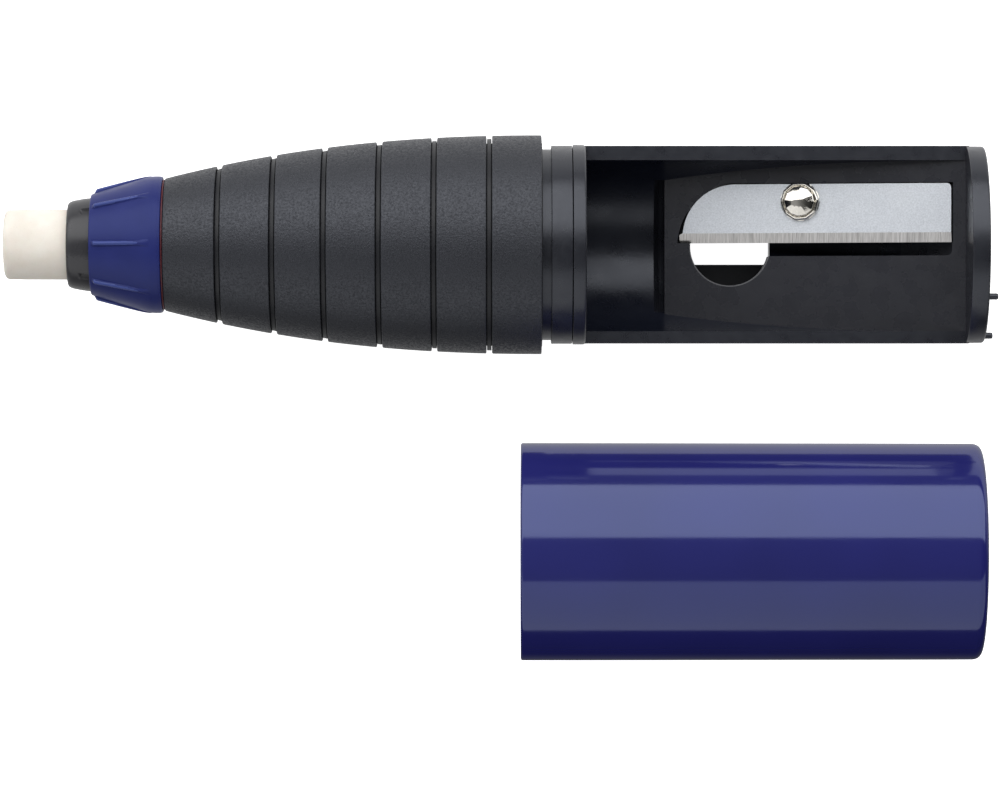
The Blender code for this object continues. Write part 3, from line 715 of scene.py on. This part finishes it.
def make_housing():
    collar = eased(
        [
            (6.0, 0),
            (6.0, 5.8),
            (4.2, 5.8),
            (4.2, 7.0),
            (6.66, 7.0),
            (6.66, 8.97, 0.08),
            (TROUGH_FRONT, 8.97, 0.3),
            (TROUGH_FRONT, 0),
        ],
        5,
    )
    trough = rod(TROUGH_FRONT - 0.6, TAIL_FRONT + 0.3, TROUGH_RADIUS, 160)
    tail = [(TAIL_FRONT, 0), (TAIL_FRONT, TAIL_RADIUS, 0.12)]
    tail = eased(tail + [(TAIL_REAR, TAIL_RADIUS, 0.28), (TAIL_REAR, 0)], 5)
    opening = prism(rectangle(TROUGH_FRONT - 1, TAIL_FRONT + 1, -FAR, FAR), LIP_HEIGHT, FAR)
    piece = new_object("trough", trough)
    carve(
        piece,
        ("DIFFERENCE", opening),
        ("UNION", turned(collar, 160)),
        ("UNION", turned(tail, 160)),
        ("DIFFERENCE", trough_hollow()),
        ("DIFFERENCE", floor_groove()),
    )
    base = slant_frame()
    gap = [(20.9, -0.96), (40.78, -0.96, 0.5), (40.78, 0.3), (20.9, 0.3)]
    gap = slanted(eased(gap, 4, True))
    hole = arc(CHIP_HOLE, CHIP_RADIUS, 0, 360, 72)[:-1]
    rim = arc(CHIP_HOLE, CHIP_RIM, 0, 360, 72)[:-1]
    slot = rectangle(BORE_TIP, 24.62, -1.64, 1.64)
    cone_end = BORE_TIP + BORE_RADIUS / math.tan(SLANT)
    bore = [(BORE_TIP, 0), (cone_end, BORE_RADIUS), (TAIL_REAR - 0.22, BORE_RADIUS)]
    bore += [(TAIL_REAR + 0.3, BORE_RADIUS + 0.52), (FAR * 1.5, BORE_RADIUS + 0.52), (FAR * 1.5, 0)]
    down = Matrix.Translation((0, 0, -BORE_DROP * MM))
    pilot = arc((on_slant(SCREW[0]), SCREW[1]), SCREW_HOLE, 0, 360, 24)[:-1]
    carve(
        piece,
        ("DIFFERENCE", shifted(turned(bore, 96), down)),
        ("DIFFERENCE", prism(slot, -FAR, -5.6)),
        ("DIFFERENCE", shifted(prism(pocket_outline(), -POCKET_DEPTH, FAR), base)),
        ("DIFFERENCE", shifted(prism(pilot, -4.0, 0), base)),
        ("DIFFERENCE", shifted(prism(gap, -2.6, FAR), base)),
        ("DIFFERENCE", prism(rim, lambda x, y: slant_height(x) - 0.16, 0)),
        ("DIFFERENCE", prism(hole, -7.0, 0)),
    )
    pegs, peg_radius, peg_circle = [], 0.285, 8.2
    foot, end = 43.2, TAIL_REAR + 0.78
    for degrees in (125.6, 176.5):
        angle = math.radians(degrees)
        outline = [(foot, 0), (foot, peg_radius), (end, peg_radius, 0.2), (end, 0)]
        spot = Vector((0, math.cos(angle), math.sin(angle))) * peg_circle * MM
        peg = shifted(turned(eased(outline, 5), 24), Matrix.Translation(spot))
        pegs.append(("UNION", peg))
    carve(piece, *pegs)
    soften_edges(piece, 0.07)
    piece.name = "sharpener_housing_moulded"
    finishes = [charcoal, slant_finish, trough_finish, bore_dull_painted_shade, rim_painted_highlight]
    finish_piece(piece, finishes, "handle", ["sharpener_housing"])
    paint_housing(piece.data)


# The order of the housing's finishes
SATIN, TEXTURED, POLISHED, DULL_PAINTED_SHADE, RIM = range(5)


def paint_housing(mesh):
    """Textured plastic on the slanted face, polished in the trough, and satin elsewhere. The chip
    hole and the blade's pocket are dull inside and painted near-black as painted shade, and the
    hole's rim and the trough's lip edges are painted light grey as a painted highlight."""
    up = Vector((-math.sin(SLANT), 0, math.cos(SLANT)))
    for face in mesh.polygons:
        x, y, z = face.center / MM
        radius = math.hypot(y - TROUGH_SHIFT, z)
        inside = TROUGH_FRONT - 0.1 < x < TAIL_FRONT + 0.1 and radius < TROUGH_INNER + 0.06
        corners = [mesh.vertices[k].co / MM for k in face.vertices]
        reach = [math.hypot(c.x - CHIP_HOLE[0], c.y - CHIP_HOLE[1]) for c in corners]
        depth = slant_height(x) - z
        deepest = max(slant_height(c.x) - c.z for c in corners)
        ring = CHIP_RADIUS - 0.1 < min(reach) and max(reach) < CHIP_RIM + 0.1
        lip = radius < TROUGH_INNER + 0.12 and LIP_HEIGHT - 0.12 < z < LIP_HEIGHT - 0.002
        pocket = x > BORE_TIP - 1 and y > 0.2 and 0.05 < depth < POCKET_DEPTH + 0.1
        chip_hole = max(reach) < CHIP_RIM + 0.1 and deepest > 0.3 and y < 0.1
        finish = SATIN
        # Inside the chip hole and the pocket: dull, and painted near-black as painted shade.
        if inside and (chip_hole or pocket):
            finish = DULL_PAINTED_SHADE
        # The chip hole's rim and the trough's lip edges: painted light grey as a painted highlight.
        elif inside and ring and 0.01 < deepest < 0.3 or lip and abs(face.normal.x) < 0.5:
            finish = RIM
        elif inside and face.normal.dot(up) > 0.97 and abs(depth) < 0.05:
            finish = TEXTURED
        elif inside and z < LIP_HEIGHT - 0.1:
            finish = POLISHED
        face.material_index = finish


def make_blade():
    """A flat blade ground along its low edge, whose front end is round."""
    centre, radius = (21.44, 0.81), 4.74
    edge, bevel_line = 0.24, 1.13
    plan = arc(centre, radius, 90, 176, 30)
    plan += eased(
        [
            (16.72, 1.25),
            (16.66, 1.12, 0.05),
            (16.39, 1.02, 0.16),
            (16.39, edge, 0.32),
            (40.7, edge, 0.06),
            (40.7, 5.55, 0.45),
            (39.0, 5.55),
        ],
        6,
    )
    low = -POCKET_DEPTH + 0.08
    bm = prism(slanted(plan), low, low + BLADE_THICKNESS)
    everything = list(bm.verts) + list(bm.edges) + list(bm.faces)
    line = (0, bevel_line * MM, 0)
    bmesh.ops.bisect_plane(bm, geom=everything, plane_co=line, plane_no=(0, 1, 0))
    edge_share = 0.25
    for vert in bm.verts:
        y = vert.co.y / MM
        if y < bevel_line and vert.co.z / MM > low + 0.1:
            share = (y - edge) / (bevel_line - edge)
            height = edge_share + (1 - edge_share) * share
            vert.co.z = (low + BLADE_THICKNESS * height) * MM
    hole = arc((on_slant(SCREW[0]), SCREW[1]), SCREW_HOLE, 0, 360, 32)[:-1]
    piece = new_object("blade_ground_edge", shifted(bm, slant_frame()))
    carve(piece, ("DIFFERENCE", shifted(prism(hole, -3, 3), slant_frame())))
    crease = 9
    soften_edges(piece, 0.035, 50, 2, crease)
    finishes = [blade_finish, edge_finish]
    finish_piece(piece, finishes, "handle", ["sharpener_blade"], crease)
    up = Vector((-math.sin(SLANT), 0, math.cos(SLANT)))
    for face in piece.data.polygons:
        face_y = face.center.y / MM
        if edge < face_y < bevel_line and 0.6 < face.normal.dot(up) < 0.995:
            face.material_index = 1


def make_screw():
    """A domed screw head whose rim and dome are peened into flats."""
    head, dome_flats, rim_flats = 1.78, 12, 10
    base = -POCKET_DEPTH + BLADE_THICKNESS + 0.1
    profile = eased(
        [
            (base - 3.6, 0),
            (base - 3.6, 0.48, 0.1),
            (base - 2.8, 0.95),
            (base, 0.95),
            (base, head, 0.08),
            (base + 0.34, head, 0.14),
            (base + 0.52, head * 0.88, 0.08),
            (base + 0.34, head * 0.82, 0.03),
            (base + 0.62, head * 0.76, 0.08),
            (base + 0.94, head * 0.3, 0.3),
            (base + 1.04, 0),
        ],
        5,
    )

    def peened(x, out, angle):
        if x < base + 0.05 or out < 0.1:
            return x, out
        inner = out < head * 0.85
        count = dome_flats if inner else rim_flats
        turn = off_centre(angle, TURN / count, 0.2 if inner else 0.05)
        flat = math.cos(math.pi / count) / math.cos(turn)
        depth = smooth((out - 0.2) / 0.6) if inner else 0.75
        return x, out * (1 + (flat - 1) * depth)

    upright = Matrix.Rotation(-math.pi / 2, 4, "Y")
    spot = Matrix.Translation((on_slant(SCREW[0]) * MM, SCREW[1] * MM, 0))
    bm = shifted(turned(profile, 144, peened), slant_frame() @ spot @ upright)
    piece = new_object("blade_screw_domed", bm)
    finish_piece(piece, nickel_finish, "handle", ["blade_screw"], 25)


# ---------------------------------------------------------------- sleeve


def make_sleeve():
    mouth, tail = ends_of("shavings_sleeve")
    inner, outer, tail_radius, wall = 9.06, 9.775, 9.71, 1.0
    profile = eased(
        [
            (tail - wall, 0),
            (tail - wall, inner, 0.3),
            (mouth, inner, 0.12),
            (mouth, outer, 0.22),
            (tail, tail_radius, 0.95),
            (tail, 0),
        ],
        9,
    )
    piece = new_object("shavings_sleeve_gloss", turned(profile, 288), SLEEVE_AXIS)
    hole, flare = 3.9, 0.2
    cutter = [(tail - 3, 0), (tail - 3, hole), (tail - flare, hole), (tail, hole + flare)]
    cutter += [(tail + 3, hole + flare), (tail + 3, 0)]
    down = Matrix.Translation((0, 0, -BORE_DROP * MM))
    carve(piece, ("DIFFERENCE", shifted(turned(eased(cutter, 3), 128), down)))
    finish_piece(piece, sleeve_finish, "sleeve", ["shavings_sleeve"])


def dress_hidden_parts():
    """The mechanism inside the barrel keeps its own meshes and takes real materials."""
    hidden = {
        "helix_sleeve": acetal,
        "eraser_carrier": acetal,
        "thrust_washer": acetal,
        "retaining_clip": nickel_finish,
    }
    for node, made in hidden.items():
        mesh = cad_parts[node].data
        for k in range(len(mesh.materials)):
            mesh.materials[k] = made


# ---------------------------------------------------------------- studio


def make_floor():
    """White paper. The glow that lights the object grows from the sleeve to the handle."""
    size = 2.5
    bm = bmesh.new()
    bmesh.ops.create_grid(bm, x_segments=1, y_segments=1, size=size)
    floor = new_object("studio_floor", bm, Vector((0, 0, 0)))
    made = Nodes("floor_paper")
    tone = made.ramp(made.noise(120.0, 2.0), [(0.3, (0.90, 0.90, 0.90)), (0.7, (0.92, 0.92, 0.92))])
    made.set(Base_Color=tone, Roughness=0.9, Emission_Color=WHITE, Emission_Strength=0.95)
    seen = made.add("ShaderNodeLightPath").outputs["Is Camera Ray"]
    across = made.add("ShaderNodeSeparateXYZ", {"Vector": made.place}).outputs["Y"]
    share = made.span(across, 0.02, 0.95, -36 * MM, 24 * MM)
    level = made.add("ShaderNodeMath", {0: share, 1: 1.3}, operation="POWER").outputs["Value"]
    grey = made.add("ShaderNodeEmission", {"Strength": level}).outputs["Emission"]
    mix = made.add("ShaderNodeMixShader", {0: seen, 1: grey, 2: made.shader.outputs["BSDF"]})
    output = made.tree.nodes["Material Output"]
    made.feed(output.inputs["Surface"], mix.outputs["Shader"])
    floor.data.materials.append(made.made)


def add_softbox(name, off_vertical, distance, width, length, power):
    """A soft box along X, over the +Y side for a positive angle off vertical."""
    angle = math.radians(off_vertical)
    data = bpy.data.lights.new(name, "AREA")
    data.shape, data.size, data.size_y = "RECTANGLE", length, width
    data.energy = power
    lamp = bpy.data.objects.new(name, data)
    lamp.location = (0, math.sin(angle) * distance, math.cos(angle) * distance)
    lamp.rotation_euler = (-angle, 0, 0)
    bpy.context.collection.objects.link(lamp)


# The studio's walls: light past the eraser's end, and dark past the sharpener's
WALLS = {"From Min": -0.6, "From Max": 0.5, "To Min": 0.34, "To Max": 0.01}


def make_lights():
    add_softbox("softbox_key", 45, 0.6, 0.70, 2.4, 11.1)
    add_softbox("softbox_fill", -60, 0.6, 0.68, 2.4, 4.0)
    world = bpy.data.worlds.new("studio")
    world.use_nodes = True
    backdrop = world.node_tree.nodes["Background"]
    backdrop.inputs["Color"].default_value = WHITE
    nodes, links = world.node_tree.nodes, world.node_tree.links
    direction = nodes.new("ShaderNodeTexCoord").outputs["Generated"]
    split, fade = nodes.new("ShaderNodeSeparateXYZ"), nodes.new("ShaderNodeMapRange")
    links.new(direction, split.inputs["Vector"])
    links.new(split.outputs["X"], fade.inputs["Value"])
    for socket, value in WALLS.items():
        fade.inputs[socket].default_value = value
    links.new(fade.outputs["Result"], backdrop.inputs["Strength"])
    bpy.context.scene.world = world
    bpy.context.scene.view_settings.view_transform = "Standard"


def make_camera():
    """Straight overhead, at a distance whose scale gives the framing on the handle's axis."""
    distance, pixels_per_mm, image_width = 530.0, 11.12, 1000
    centre_x, centre_y = 0.135, -0.198
    data = bpy.data.cameras.new("camera")
    data.sensor_width = 36
    data.lens = data.sensor_width * pixels_per_mm * distance / image_width
    data.clip_start = 0.01
    camera = bpy.data.objects.new("camera", data)
    camera.location = (centre_x * MM, centre_y * MM, AXIS.z + distance * MM)
    bpy.context.collection.objects.link(camera)
    bpy.context.scene.camera = camera


make_camera()
make_lights()
make_floor()
make_eraser()
make_nose()
make_ring()
make_washer()
make_bands()
make_core()
make_housing()
make_blade()
make_screw()
make_sleeve()
dress_hidden_parts()
